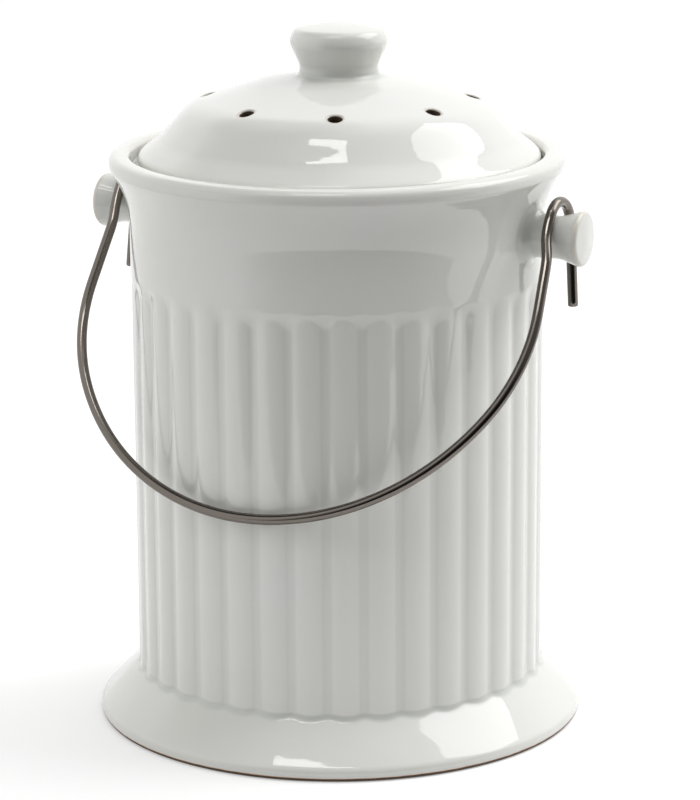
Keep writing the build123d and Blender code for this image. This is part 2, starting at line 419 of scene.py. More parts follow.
def fullest(first, second, softness):
    """The larger of two distances, with the crease between them filled."""
    overlap = max(softness - abs(first - second), 0.0)
    return max(first, second) + overlap**2 / (4 * softness)


def one_reed(across):
    """Distance from the axis to one reed's skin, at an angle from its middle."""
    left = reed_round**2 - (reed_axis * sin(across)) ** 2
    return reed_axis * cos(across) + max(left, 0.0) ** 0.5


def reed_wall(azimuth, height):
    """Distance from the axis to the reeded wall, which sinks into the neck above its top."""
    across = (azimuth - reed_turn) % reed_pitch - reed_pitch / 2
    skin = fullest(one_reed(across), one_reed(reed_pitch - abs(across)), groove_softness)
    return skin - neck_fade * max(height - reed_top, 0.0)


print("a reed's crest lies", round(one_reed(0.0), 2), "mm from the axis")

# %% [markdown]
# Rows lie close where the outline or the reeds' ends curve and far apart where
# the wall is straight. Twenty-four columns to a reed keep it round.

# %% Rows of the crock
lug_height = 198.0
lug_box = 17.0


def crock_gap(point):
    """Largest step between rows at a point of the outline."""
    radius, height = point
    if radius < bore_radius + 1:
        return 12.0
    if foot_slope_top - 6 < height < foot_slope_top + 8 or core_top - 4 < height < reed_top + 4:
        return 0.6
    if abs(height - lug_height) < lug_box + 1:
        return 1.0
    return 9.0


crock_rows = thinned(outline, radians(4.0), crock_gap)
first_row = int(np.argmax(crock_rows[:, 0] > foot_ring_inner / 2))
crock_rows = crock_rows[first_row:]
while crock_rows[-1][0] < bore_radius / 2:
    crock_rows = crock_rows[:-1]
row_is_outer = np.arange(len(crock_rows)) < int(np.argmax(crock_rows[:, 1]))
crock_columns = reed_count * columns_per_reed
print("rows", len(crock_rows), "columns", crock_columns)


def crock_place(row, column):
    """Point of the crock's skin at a row and a column."""
    azimuth = 2 * pi * column / crock_columns
    radius, height = crock_rows[row]
    if row_is_outer[row] and foot_edge_height < height < reed_top + 8:
        radius = fullest(radius, reed_wall(azimuth, height), toe_softness)
    return radius * cos(azimuth), radius * sin(azimuth), height


# %% [markdown]
# Each lug is a mushroom of clay stuck on the flared neck with slip. It grows
# out of the plain wall there, so the first thing to know is where that wall
# lies beside the lug, and which way it faces.

# %% The wall behind the lugs
lug_neck = 8.3
lug_head = 10.7
lug_neck_end = 94.8
lug_tip = 103.4
lug_dome = 1.0
lug_dome_round = 28.0
lug_flare_round = 14.0
lug_edge = 1.6
lug_root = 4.6
lug_blur = 0.45
lug_blur_loss = 0.15
lug_levels = 7
fillet_levels = 9


def wall_at(height):
    """Radius of the plain wall and its outward slope at a height."""
    radius = np.interp(height, outer_wall[:, 1], outer_wall[:, 0])
    above = np.interp(height + 0.5, outer_wall[:, 1], outer_wall[:, 0])
    below = np.interp(height - 0.5, outer_wall[:, 1], outer_wall[:, 0])
    return radius, above - below


def wall_point(side, upward):
    """Point of the plain wall beside a lug, and its outward normal."""
    height = lug_height + upward
    radius, slope = wall_at(height)
    out = (radius**2 - side**2) ** 0.5
    normal = np.array([out / radius, side / radius, -slope])
    return np.array([out, side, height]), normal / np.linalg.norm(normal)


print("behind a lug the wall lies", round(float(wall_at(lug_height)[0]), 2), "mm from the axis")

# %% [markdown]
# The thumb that smoothed the joint left a hollow fillet. A ball rolled round
# the joint, touching wall and neck, draws that fillet. Its centre line is found
# first, then the arc from wall to neck is swung about it for every direction
# round the lug.

# %% The hollow at a lug's root
def root_ball(direction):
    """Centre of the ball in the root fillet, and where it touches wall and neck."""
    reach = lug_neck + lug_root
    side = reach * cos(direction)
    upward = reach * sin(direction)
    touch_side = side
    touch_up = upward
    for _ in range(6):
        touch, normal = wall_point(touch_side, touch_up)
        out = touch[0] + lug_root * normal[0]
        touch_side = side - lug_root * normal[1]
        touch_up = upward - lug_root * normal[2]
    touch, normal = wall_point(touch_side, touch_up)
    centre = np.array([out, side, lug_height + upward])
    neck = np.array([out, lug_neck * cos(direction), lug_height + lug_neck * sin(direction)])
    return centre, touch, neck


def fillet_arc(centre, start, end, levels):
    """Points from start to end on the ball about centre, without the first one."""
    one = start - centre
    two = end - centre
    angle = acos(np.clip(one @ two / (np.linalg.norm(one) * np.linalg.norm(two)), -1.0, 1.0))
    shares = np.linspace(0.0, 1.0, levels + 1)[1:]
    return [centre + (one * sin((1 - t) * angle) + two * sin(t * angle)) / sin(angle) for t in shares]


print("beside a lug's neck the ball is centred at", root_ball(0.0)[0].round(2))

# %% [markdown]
# A lug grows in three stretches of rings: over the opened wall to where the
# ball touches it, along the ball to the neck, and then as a turned shape, out
# to its flared head and gently domed end. With both lugs on it, the crock's
# skin is closed and becomes a piece.

# %% The lugs and the crock
def lug_outline():
    """Outline of the lug beyond its fillet: neck, flared head, rounded edge, domed end."""
    corners = [
        (lug_neck, lug_neck_end - 7.0, 0.0),
        (lug_neck, lug_neck_end, lug_flare_round),
        (lug_head, lug_tip - lug_edge, 0.5),
        (lug_head, lug_tip, lug_edge),
        (0.0, lug_tip + lug_dome + lug_blur_loss, lug_dome_round),
        (-lug_head, lug_tip, 0.0),
    ]
    fine = up_to_axis(glaze_blurred(even_steps(rounded_outline(corners), fine_step), lug_blur))
    return thinned(fine, radians(6.0), lambda point: 1.2)


def add_lug(shell, facing):
    """Opens the wall and grows a lug out of it; facing is 1 for +X and -1 for -X."""
    rows = np.nonzero(row_is_outer & (abs(crock_rows[:, 1] - lug_height) < lug_box))[0]
    middle = 0 if facing > 0 else crock_columns // 2
    half = int(round(lug_box / wall_radius / (2 * pi) * crock_columns))
    edge = shell.leave_out(int(rows[0]), int(rows[-1]), middle - half, middle + half)
    ring = [shell.at(*cell) for cell in edge]
    start = [np.array(shell.points[number]) * (facing, facing, 1) for number in ring]
    angles = [atan2(point[2] - lug_height, point[1]) for point in start]
    balls = [root_ball(angle) for angle in angles]
    rings = []
    for level in range(1, lug_levels + 1):
        share = level / lug_levels
        flat = [point * (1 - share) + ball[1] * share for point, ball in zip(start, balls)]
        rings.append([wall_point(point[1], point[2] - lug_height)[0] for point in flat])
    arcs = [fillet_arc(*ball, fillet_levels) for ball in balls]
    rings += [[arc[level] for arc in arcs] for level in range(fillet_levels)]
    profile = lug_outline()
    for radius, out in profile[1:-1]:
        rings.append([np.array([out, radius * cos(a), lug_height + radius * sin(a)]) for a in angles])
    for points in rings:
        next_ring = shell.add_ring(point * (facing, facing, 1) for point in points)
        shell.bridge(ring, next_ring)
        ring = next_ring
    shell.fan(ring, shell.add_point((facing * profile[-1][1], 0.0, lug_height)))


crock_shell = Shell(crock_place, len(crock_rows), crock_columns)
add_lug(crock_shell, 1)
add_lug(crock_shell, -1)
crock_shell.fill_grid()
crock_shell.cap(0, (0.0, 0.0, foot_recess))
crock_shell.cap(len(crock_rows) - 1, (0.0, 0.0, floor_height))
crock = new_piece("stoneware_crock", crock_shell.points, crock_shell.faces)
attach(crock, "crock")
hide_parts("crock")

# %% [markdown]
# The lid is turned in one with its knob. Its outline starts under the middle
# of the dome, runs down inside, round the skirt that holds the filter, out to
# the brim and over the top. On the crock it lies one millimetre off centre, as
# a loose lid does.

# %% Sizes of the lid
lid_radius = 78.4
lid_levels = [(78.4, 5.0), (69.3, 11.8), (58.1, 24.7), (29.6, 33.3), (15.2, 35.0)]
knob_levels = [(15.2, 259.0), (19.3, 267.7), (17.4, 272.9), (0.0, 276.3)]
lid_thickness = 5.6
skirt_outer = 72.8
skirt_inner = 68.4
skirt_bottom = seat_height - 13.6
pad_stop = 216.8
stop_radius = 63.9
lid_shift = 1.0
lid_shift_angle = radians(25.0)
lid_turn = radians(0.7)
lid_offset = (lid_shift * cos(lid_shift_angle), lid_shift * sin(lid_shift_angle))
lid_blur = 1.1


def lid_outline():
    """Blurred outline of the lid, from under the dome round to the knob's top."""
    brim, flare, shoulder, crown, neck = [(radius, seat_height + rise) for radius, rise in lid_levels]
    knob_neck, knob_widest, knob_edge, knob_top = knob_levels
    under = [
        (0.0, neck[1] - lid_thickness, 0.0),
        (neck[0], neck[1] - lid_thickness, 40.0),
        (crown[0], crown[1] - lid_thickness, 40.0),
        (shoulder[0] - lid_thickness / 2, shoulder[1] - lid_thickness, 14.4),
        (stop_radius, brim[1], 6.0),
        (stop_radius, pad_stop, 0.4),
        (skirt_inner, pad_stop, 0.4),
        (skirt_inner, skirt_bottom, 1.3),
        (skirt_outer, skirt_bottom, 1.3),
        (skirt_outer, seat_height, 0.5),
        (lid_radius, seat_height, 0.9),
    ]
    over = [
        (*brim, 2.2),
        (*flare, 12.0),
        (*shoulder, 20.0),
        (*crown, 40.0),
        (*neck, 2.0),
        (*knob_neck, 3.0),
        (*knob_widest, 3.2),
        (*knob_edge, 3.4),
        (*knob_top, 60.0),
        (-knob_edge[0], knob_edge[1], 0.0),
    ]
    fine = even_steps(rounded_outline(under + over), fine_step)
    return up_to_axis(glaze_blurred(fine, lid_blur))


lid_line = lid_outline()
print("lid outline", len(lid_line), "points, top at", lid_line[:, 1].max().round(2))

# %% [markdown]
# Eight vents were punched through the leather-hard dome. They were spaced by
# eye, and two of them stray by a few degrees. Rows lie close where the vents
# come, so that each opening's edge has enough points for a round hole.

# %% Rows of the lid
vent_count = 8
vent_ring = 51.8
vent_radius = 2.8
vent_strays = {4: radians(-6.2), 5: radians(4.3)}
vent_lip = 0.7
under_lip = 0.5
vent_box = 6.4
lid_columns_per_vent = 54
lid_columns = vent_count * lid_columns_per_vent
vent_levels = 5
lip_levels = 6
dome_starts = seat_height + 10.0


def lid_gap(point):
    """Largest step between rows at a point of the lid's outline."""
    radius, height = point
    if abs(radius - vent_ring) < vent_box + 1 and height > seat_height:
        return 0.9
    return 4.0


lid_rows = thinned(lid_line, radians(3.5), lid_gap)[1:-1]
under_end = int(np.argmin(np.abs(lid_rows[:, 1] - skirt_bottom)))
dome_under = lid_rows[:under_end]
dome_over = lid_rows[under_end:]
print("lid rows", len(lid_rows), "columns", lid_columns)


def lid_place_at(row, column):
    """Point of the lid's skin at a row and a column."""
    azimuth = 2 * pi * column / lid_columns + lid_turn
    radius, height = lid_rows[row]
    return radius * cos(azimuth), radius * sin(azimuth), height


# %% [markdown]
# A vent meets the dome twice, outside and inside. Its rings lie on those two
# faces, so their height and slope near the vents are read off the rows.

# %% The dome near the vents
def dome_height(radius, outside):
    """Height of the dome's outer or inner face near the vent ring."""
    line = dome_over if outside else dome_under
    near = line[np.abs(line[:, 0] - vent_ring) < vent_box + 4]
    near = near[near[:, 1] > dome_starts]
    near = near[np.argsort(near[:, 0])]
    return float(np.interp(radius, near[:, 0], near[:, 1]))


def dome_slope(outside):
    """Slope of the dome at the vent ring, as rise over run towards the axis."""
    rise = dome_height(vent_ring - 1, outside) - dome_height(vent_ring + 1, outside)
    return rise / 2


def vent_ring_point(azimuth, centre, spread, direction, outside):
    """Point on the dome at a distance and direction from a vent's centre."""
    slope = hypot(1.0, dome_slope(outside))
    radius = centre + spread * sin(direction) / slope
    turn = azimuth + spread * cos(direction) / radius
    return np.array([radius * cos(turn), radius * sin(turn), dome_height(radius, outside)])


print("the dome leans by", [round(dome_slope(face), 2) for face in (True, False)], "out and in")

# %% [markdown]
# The punch went in square to the surface, and the glaze drew back round each
# mouth. So a vent is a tube with a rounded lip: both faces of the dome are led
# onto it, its throat joins them, and each point remembers how bare its clay is.

# %% One vent
def vent_side(shell, azimuth, column, centre, outside, lip):
    """Leads the dome's grid onto a vent's lip on one face; returns the last ring and its directions."""
    near = np.abs(lid_rows[:, 0] - centre) < vent_box
    over = (np.arange(len(lid_rows)) >= under_end) == outside
    rows = np.nonzero(near & over & (lid_rows[:, 1] > dome_starts))[0]
    half = int(round(vent_box / vent_ring / (2 * pi) * lid_columns))
    edge = shell.leave_out(int(rows[0]), int(rows[-1]), column - half, column + half)
    ring = [shell.at(*cell) for cell in edge]
    slope = hypot(1.0, dome_slope(outside))
    polar = []
    for number in ring:
        x, y, _ = shell.points[number]
        radius = hypot(x, y)
        turn = (atan2(y, x) - azimuth + pi) % (2 * pi) - pi
        along = turn * radius
        outward = (radius - centre) * slope
        polar.append((hypot(along, outward), atan2(outward, along)))
    for level in range(1, vent_levels + 1):
        share = level / vent_levels
        spreads = [(far * (1 - share) + (vent_radius + lip) * share, angle) for far, angle in polar]
        points = [vent_ring_point(azimuth, centre, far, angle, outside) for far, angle in spreads]
        next_ring = shell.add_ring(points)
        shell.bridge(ring, next_ring)
        ring = next_ring
    return ring, [angle for _, angle in polar]


def join_rings(shell, first, second):
    """Joins two rings of any counts with triangles, starting at the nearest pair."""
    one = [np.array(shell.points[number]) for number in first]
    two = [np.array(shell.points[number]) for number in second]
    start = min(range(len(two)), key=lambda index: np.linalg.norm(two[index] - one[0]))
    quarter = one[len(one) // 4]
    ahead = two[(start + len(two) // 4) % len(two)]
    behind = two[start - len(two) // 4]
    step = 1 if np.linalg.norm(ahead - quarter) < np.linalg.norm(behind - quarter) else -1
    order = [(start + step * index) % len(two) for index in range(len(two) + 1)]
    here = 0
    there = 0
    while here < len(first) or there < len(second):
        first_lags = (here + 1) / len(first) <= (there + 1) / len(second)
        if there == len(second) or (first_lags and here < len(first)):
            shell.faces.append((first[here], first[(here + 1) % len(first)], second[order[there]]))
            here += 1
        else:
            shell.faces.append((first[here % len(first)], second[order[there + 1]], second[order[there]]))
            there += 1


def add_vent(shell, index):
    """Cuts one vent through the dome."""
    stray = vent_strays.get(index, 0.0)
    azimuth = 2 * pi * (index + 0.5) / vent_count + lid_turn + stray
    column = round((index + 0.5) * lid_columns_per_vent + stray / (2 * pi) * lid_columns)
    steep = dome_slope(True)
    axis = np.array([steep * cos(azimuth), steep * sin(azimuth), 1.0])
    axis /= np.linalg.norm(axis)
    inner_centre = vent_ring - lid_thickness * hypot(*axis[:2])
    outer, angles = vent_side(shell, azimuth, column, vent_ring, True, vent_lip)
    inner, inner_angles = vent_side(shell, azimuth, column, inner_centre, False, under_lip)
    for level in range(1, lip_levels + 1):
        share = pi / 2 * level / lip_levels
        spread = vent_radius + vent_lip * (1 - sin(share))
        depth = vent_lip * (1 - cos(share))
        rim = [vent_ring_point(azimuth, vent_ring, spread, angle, True) for angle in angles]
        next_ring = shell.add_ring([point - axis * depth for point in rim], (level / lip_levels) ** 2)
        shell.bridge(outer, next_ring)
        outer = next_ring
    points = [
        vent_ring_point(azimuth, inner_centre, vent_radius, angle, False) + axis * under_lip
        for angle in inner_angles
    ]
    # The throat is marked wholly bare, so it gets the clay brown darkened by painted shade.
    throat = shell.add_ring(points, 1.0)
    shell.bridge(inner, throat)
    join_rings(shell, outer, throat)


# %% [markdown]
# The lid is the turned grid with all its vents in it, closed on the axis under
# the dome and on top of the knob. The share of bare clay goes along as an
# attribute, for the glaze to read.

# %% The lid
lid_shell = Shell(lid_place_at, len(lid_rows), lid_columns)
for vent in range(vent_count):
    add_vent(lid_shell, vent)
lid_shell.fill_grid()
lid_shell.cap(0, (0.0, 0.0, lid_line[0][1]))
lid_shell.cap(len(lid_rows) - 1, (0.0, 0.0, lid_line[-1][1]))
lid = new_piece("stoneware_lid", lid_shell.points, lid_shell.faces, lid_offset)
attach(lid, "lid")
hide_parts("lid")
bare_shaded_throats = [lid_shell.bare_shares.get(number, 0.0) for number in range(len(lid_shell.points))]
lid.data.attributes.new("unglazed_and_shaded", "FLOAT", "POINT").data.foreach_set("value", bare_shaded_throats)

# %% [markdown]
# The bail is one length of steel wire, bent by hand over pegs. It is drawn as
# the bender sees it: straight runs that meet at corners, and the radius of the
# peg at each corner. Hand work shows in two places: the legs lean a little to
# the right, and the hooks' tails splay. It hangs tilted until its bow touches
# the reeds, which gives its reach.

# %% Sizes of the bail
wire_radius = 2.0
hook_station = 91.8
hook_offset = 10.6
hook_bend = 9.4
hook_flare = 2.1
tail_room = 0.8
tail_drop = 29.2
leg_bend = 25.0
leg_bend_drop = 4.3
leg_knee = 0.8
leg_knee_drop = 14.0
leg_splay = 2.5
leg_lean = 2.0
shoulder_bend = 76.0
bow_turn = radians(60.0)
bow_shift = -1.1
bow_clearance = 0.3
bail_tilt = radians(35.2)
bail_reach = (wall_radius + bow_clearance + wire_radius - hook_offset * cos(bail_tilt)) / sin(bail_tilt)
wire_blur = 1.5
wire_sides = 28


def bail_place(across, down):
    """Point in the plane of the bail, measured from the middle and down from the lugs."""
    out = hook_offset * cos(bail_tilt) + down * sin(bail_tilt)
    up = hook_offset * sin(bail_tilt) - down * cos(bail_tilt)
    return np.array([across, -out, lug_height + up])


print("the bail's reach is", round(bail_reach, 1), "mm at a tilt of", round(bail_tilt * 180 / pi, 1))

# %% [markdown]
# A hook is one bend over the neck of a lug. On one side the leg rises into it,
# tilted with the bail, and on the other the tail hangs down and splays. Both
# touch the bend equally far from the corner where they would meet, and that
# gives the corner.

# %% The hooks
def hook_corners(side):
    """Tail end and crest corner of a hook, drawn on the right, each with its bend."""
    pinch = hook_offset - hook_bend
    rise = pinch * (1 + cos(bail_tilt)) / sin(bail_tilt)
    leg_out = hook_bend * cos(bail_tilt) - pinch
    leg_top = np.array([hook_station, -leg_out, lug_height + rise + hook_bend * sin(bail_tilt)])
    flare = hook_flare - side * leg_lean / 2
    tail_top = np.array([hook_station + flare, pinch + hook_bend + tail_room, lug_height + rise])
    up_leg = np.array([0.0, sin(bail_tilt), cos(bail_tilt)])
    chord = tail_top - leg_top
    reach = (chord @ chord) / (2 * up_leg @ chord)
    crest = leg_top + up_leg * reach
    down_tail = (tail_top - crest) / reach
    tail_end = tail_top - down_tail * (rise + tail_drop) / down_tail[2]
    half = acos(-up_leg @ down_tail) / 2
    return [(tail_end, 0.0), (crest, reach * tan(half))]


print("a hook is bent over a peg of", round(hook_corners(1)[1][1], 1), "mm radius")

# %% [markdown]
# The bow is a wide arc between two tighter shoulders, each of which ends on a
# straight leg. A leg runs from its knee below the hook so that it just touches
# the shoulder's circle. The helper that rounds the potter's outlines rounds all
# these corners too, because it doesn't mind a third dimension.

# %% The legs, the bow and the whole wire
def bow_corners(side):
    """Corners of a leg and half the bow, drawn on the right, each with its bend."""
    lean = side * leg_lean
    shift = side * bow_shift
    half_width = hook_station + leg_splay + lean - shift
    bow_bend = (half_width - shoulder_bend * (1 - sin(bow_turn))) / sin(bow_turn)
    across = shift + (bow_bend - shoulder_bend) * sin(bow_turn)
    down = bail_reach - bow_bend + (bow_bend - shoulder_bend) * cos(bow_turn)
    knee_across = hook_station + leg_knee + lean
    to_knee = (knee_across - across, down - leg_knee_drop)
    start = atan2(to_knee[1], to_knee[0]) - acos(shoulder_bend / hypot(*to_knee))
    end = bow_turn - pi / 2
    far = shoulder_bend / cos((start - end) / 2)
    middle = (start + end) / 2
    return [
        (bail_place(hook_station, leg_bend_drop), leg_bend),
        (bail_place(knee_across, leg_knee_drop), leg_bend),
        (bail_place(across + far * cos(middle), down - far * sin(middle)), shoulder_bend),
        (bail_place(shift + bow_bend * tan(bow_turn / 2), bail_reach), bow_bend),
    ]


def wire_centre_line():
    """Smooth centre line of the wire from one tail to the other."""
    right = hook_corners(1) + bow_corners(1)
    left = [(place * (-1, 1, 1), bend) for place, bend in hook_corners(-1) + bow_corners(-1)]
    corners = right + left[::-1]
    points = [corners[0][0]]
    for before, (place, bend), after in zip(corners, corners[1:], corners[2:]):
        points += arc_corner(before[0], place, after[0], bend)
    points.append(corners[-1][0])
    return glaze_blurred(even_steps(np.array(points), fine_step), wire_blur)


wire_line = wire_centre_line()
wire_length = float(np.linalg.norm(np.diff(wire_line, axis=0), axis=1).sum())
print("wire length", round(wire_length, 1), "mm")

# %% [markdown]
# The wire's skin is a tube carried along that path. Its cut ends are deburred,
# so the last rings shrink. Two attributes remember how far along and how far
# round the wire each point lies, for the die lines of its finish.

# %% The bail
wire_step = 1.6
burr_round = 0.6


def wire_rings():
    """Centre, radius and distance along the wire of each ring of the tube."""
    run = np.concatenate([[0.0], np.cumsum(np.linalg.norm(np.diff(wire_line, axis=0), axis=1))])
    turns = [radians(turn) for turn in (0.0, 30.0, 60.0)]
    tips = [
        (burr_round * (1 - sin(turn)), wire_radius - burr_round * (1 - cos(turn)))
        for turn in reversed(turns)
    ]
    stations = tips[:-1]
    plain = np.arange(burr_round, run[-1] - burr_round, wire_step)
    stations += [(distance, wire_radius) for distance in plain]
    stations += [(run[-1] - offset, size) for offset, size in reversed(tips)]
    rings = []
    for distance, size in stations:
        centre = np.array([np.interp(distance, run, wire_line[:, axis]) for axis in range(3)])
        ahead = np.array([np.interp(distance + 0.4, run, wire_line[:, axis]) for axis in range(3)])
        behind = np.array([np.interp(distance - 0.4, run, wire_line[:, axis]) for axis in range(3)])
        direction = (ahead - behind) / np.linalg.norm(ahead - behind)
        rings.append((centre, direction, size, distance))
    return rings


def make_bail():
    """The swept wire, with its two attributes."""
    points = []
    faces = []
    along = []
    around = []
    side = np.array([1.0, 0.0, 0.0])
    for centre, direction, size, distance in wire_rings():
        side = side - direction * (side @ direction)
        side /= np.linalg.norm(side)
        other = np.cross(direction, side)
        for step in range(wire_sides):
            angle = 2 * pi * step / wire_sides
            points.append(tuple(centre + (side * cos(angle) + other * sin(angle)) * size))
            along.append(distance)
            around.append(angle)
    count = len(points) // wire_sides
    for ring in range(count - 1):
        for step in range(wire_sides):
            here = ring * wire_sides
            after = (step + 1) % wire_sides
            faces.append((here + step, here + after, here + wire_sides + after, here + wire_sides + step))
    for ring, end in ((0, 0), (count - 1, -1)):
        points.append(tuple(wire_line[end]))
        along.append(along[ring * wire_sides])
        around.append(0.0)
        for step in range(wire_sides):
            here = ring * wire_sides
            faces.append((here + step, here + (step + 1) % wire_sides, len(points) - 1))
    piece = new_piece("wire_bail", points, faces)
    for name, values in (("along_wire", along), ("around_wire", around)):
        piece.data.attributes.new(name, "FLOAT", "POINT").data.foreach_set("value", values)
    return piece


bail = make_bail()
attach(bail, "bail")
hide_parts("bail_handle")

# %% [markdown]
# Under the dome sits the filter: a pad of pressed carbon fibre, and below it
# a ply of needled felt towards the scraps. Both are soft, so their faces swell
# and dip by a few tenths of a millimetre and their cut edges are rounded.

# %% The filter
pad_radius = 68.1
pad_bottom = 211.8
pad_edge = 1.3
felt_radius = 67.1
felt_bottom = 210.0
felt_edge = 0.5
soft_columns = 180


def soft_disc(name, radius, bottom, top, edge, swell):
    """A round soft ply with rounded edges and gently uneven faces."""
    corners = [
        (0.0, bottom, 0.0),
        (radius, bottom, edge),
        (radius, top, edge),
        (0.0, top, 0.0),
    ]
    fine = even_steps(rounded_outline(corners), fine_step)
    rows = thinned(fine, radians(12.0), lambda point: 2.0)[1:-1]
    middle = (bottom + top) / 2

    def place(row, column):
        azimuth = 2 * pi * column / soft_columns
        out, height = rows[row]
        x = out * cos(azimuth)
        y = out * sin(azimuth)
        dip = swell * (0.5 + 0.5 * noise.noise(Vector((x / 9.0, y / 9.0, height))))
        return x, y, height + dip * (1 if height < middle else -1)

    shell = Shell(place, len(rows), soft_columns)
    shell.fill_grid()
    shell.cap(0, (0.0, 0.0, bottom + swell / 2))
    shell.cap(len(rows) - 1, (0.0, 0.0, top - swell / 2))
    return new_piece(name, shell.points, shell.faces, lid_offset)


pad = soft_disc("carbon_fibre_pad", pad_radius, pad_bottom, pad_stop, pad_edge, 0.5)
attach(pad, "filter")
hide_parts("charcoal_pad")

felt = soft_disc("needled_felt_ply", felt_radius, felt_bottom, pad_bottom, felt_edge, 0.25)
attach(felt, "filter")
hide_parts("felt_cover")

# %% [markdown]
# Colours are written as sRGB hex values, the way a colour picker shows them,
# and Blender wants them linear. A finish is a tree of nodes, and one helper
# adds a node: each setting names a socket or a property, and its value is a
# number, a colour or another node's output, which is then linked. The helpers
# after it are the steps that every recipe repeats.

# %% Helpers for finishes
def linear(hex_colour):
    """Linear RGBA of an sRGB hex colour."""
    channels = [int(hex_colour[index:index + 2], 16) / 255 for index in (1, 3, 5)]
    return (*[c / 12.92 if c <= 0.04045 else ((c + 0.055) / 1.055) ** 2.4 for c in channels], 1.0)


def add_node(tree, kind, settings=None):
    """Adds a node, and links or sets the sockets, or else the properties, that are named."""
    node = tree.nodes.new(kind)
    for key, value in (settings or {}).items():
        if isinstance(value, bpy.types.NodeSocket):
            tree.links.new(value, node.inputs[key])
        elif isinstance(key, int) or key in node.inputs:
            node.inputs[key].default_value = value
        else:
            setattr(node, key, value)
    return node


def maths(tree, operation, *values):
    """Arithmetic on numbers and outputs."""
    return add_node(tree, "ShaderNodeMath", {"operation": operation, **dict(enumerate(values))}).outputs[0]


def ramp(tree, value, start, end, low, high):
    """Low where the value is at its start, high at its end, even between them and held beyond."""
    return add_node(tree, "ShaderNodeMapRange", {0: value, 1: start, 2: end, 3: low, 4: high}).outputs[0]


def blend(tree, share, first, second):
    """Mixes two colours, each a hex value or an output, by the second one's share."""
    one, two = (linear(colour) if isinstance(colour, str) else colour for colour in (first, second))
    return add_node(tree, "ShaderNodeMix", {"data_type": "RGBA", 0: share, 6: one, 7: two}).outputs[2]


def mottle(tree, place, size, detail):
    """Noise in patches of about a size in millimetres, with so many layers of finer detail."""
    settings = {"Vector": place, "Scale": 1 / (size * MM), "Detail": detail}
    return add_node(tree, "ShaderNodeTexNoise", settings).outputs["Fac"]


def remembered(tree, name):
    """What the points of a piece remember under a name."""
    return add_node(tree, "ShaderNodeAttribute", {"attribute_name": name}).outputs["Fac"]


def relief(tree, height, depth, settings=None):
    """A bump that rises by a depth in millimetres where the height goes from 0 to 1."""
    wanted = {"Height": height, "Distance": depth * MM, "Strength": 1.0, **(settings or {})}
    return add_node(tree, "ShaderNodeBump", wanted).outputs[0]


def new_finish(name):
    """An empty material; returns it, its tree and the socket that takes its surface."""
    finish = bpy.data.materials.new(name)
    finish.use_nodes = True
    finish.node_tree.nodes.clear()
    surface = finish.node_tree.nodes.new("ShaderNodeOutputMaterial").inputs["Surface"]
    return finish, finish.node_tree, surface


def wear(piece, finish):
    """Gives a piece its one finish."""
    piece.data.materials.clear()
    piece.data.materials.append(finish)
    print(piece.name, "wears", finish.name, "of", len(finish.node_tree.nodes), "nodes")


print("the hex value #808080 is linear", round(linear("#808080")[0], 3))

# %% [markdown]
# Glazed stoneware: a clear, faintly grey glaze over a pale iron-bearing body,
# dipped and fired. Where an edge is sharp the glaze runs thin and the body's tan
# shows through. Where it pools it is thicker and cooler, and the hollows are
# painted darker still: painted shade. Both are a matter of how much the surface
# bends, which is measured once at every point: from two neighbours' normals, as
# one over the radius of the bend.

# %% Curvature of the ware
def mark_bends(piece):
    """Stores the largest convex and the largest hollow bend at each point, in one over millimetres."""
    mesh = piece.data
    places = np.empty(len(mesh.vertices) * 3)
    mesh.vertices.foreach_get("co", places)
    places = places.reshape(-1, 3) / MM
    normals = np.empty(len(mesh.vertices) * 3)
    mesh.vertices.foreach_get("normal", normals)
    normals = normals.reshape(-1, 3)
    edges = np.empty(len(mesh.edges) * 2, dtype=int)
    mesh.edges.foreach_get("vertices", edges)
    first, second = edges.reshape(-1, 2).T
    apart = places[first] - places[second]
    bend = ((normals[first] - normals[second]) * apart).sum(1) / np.maximum((apart**2).sum(1), 1e-4)
    sharp = np.zeros(len(places))
    np.maximum.at(sharp, first, bend)
    np.maximum.at(sharp, second, bend)
    hollow = np.zeros(len(places))
    np.minimum.at(hollow, first, bend)
    np.minimum.at(hollow, second, bend)
    for name, values in (("convex_bend", sharp), ("hollow_bend", -hollow)):
        mesh.attributes.new(name, "FLOAT", "POINT").data.foreach_set("value", values)
    print(piece.name, "sharpest", round(float(np.percentile(sharp, 99.5)), 2), "per mm")


mark_bends(crock)
mark_bends(lid)

# %% [markdown]
# The glaze's colour is built up in that order: a tint that drifts a little over
# the pot, tan on the edges, grey in the hollows, which is pooled glaze and
# painted shade together.

# %% Colour of the glaze
cloud_size = 45.0
thin_bends = (0.25, 0.9)
thin_most = 0.55
# The hollows' grey is darker than pooled glaze alone: partly painted shade, in the grooves and under the
# knob.
pooled_shaded_bends = (0.03, 0.3)
pooled_shaded_most = 0.6


def glaze_colour(tree, place):
    """Faintly grey glaze, thin and tan on edges, thick, cool and darkened by painted shade in hollows."""
    tint = blend(tree, mottle(tree, place, cloud_size, 2.0), "#dedfd6", "#dfdfde")
    thin = ramp(tree, remembered(tree, "convex_bend"), *thin_bends, 0.0, thin_most)
    pooled_and_shaded = ramp(tree, remembered(tree, "hollow_bend"), *pooled_shaded_bends, 0.0, pooled_shaded_most)
    return blend(tree, pooled_and_shaded, blend(tree, thin, tint, "#c3b39f"), "#bfc2bb")


print("glaze thins where a bend is under", round(1 / thin_bends[0], 1), "mm in radius")

# %% [markdown]
# The foot ring is wiped bare with a sponge before firing, along a line that
# wavers, and the clay in the vents is bare too. Both fire to a dark, gritty
# brown, painted darker still as painted shade: the shadow where the foot meets
# the table, and the shade inside the vents. On the foot a rusty line shows
# where the glaze ends.

# %% Bare clay
wipe_heights = (1.4, 1.0)
wipe_waver = 0.5
waver_size = 7.0
rusty_share = 0.45
fired_shaded_share = 0.9
grit_size = 0.8


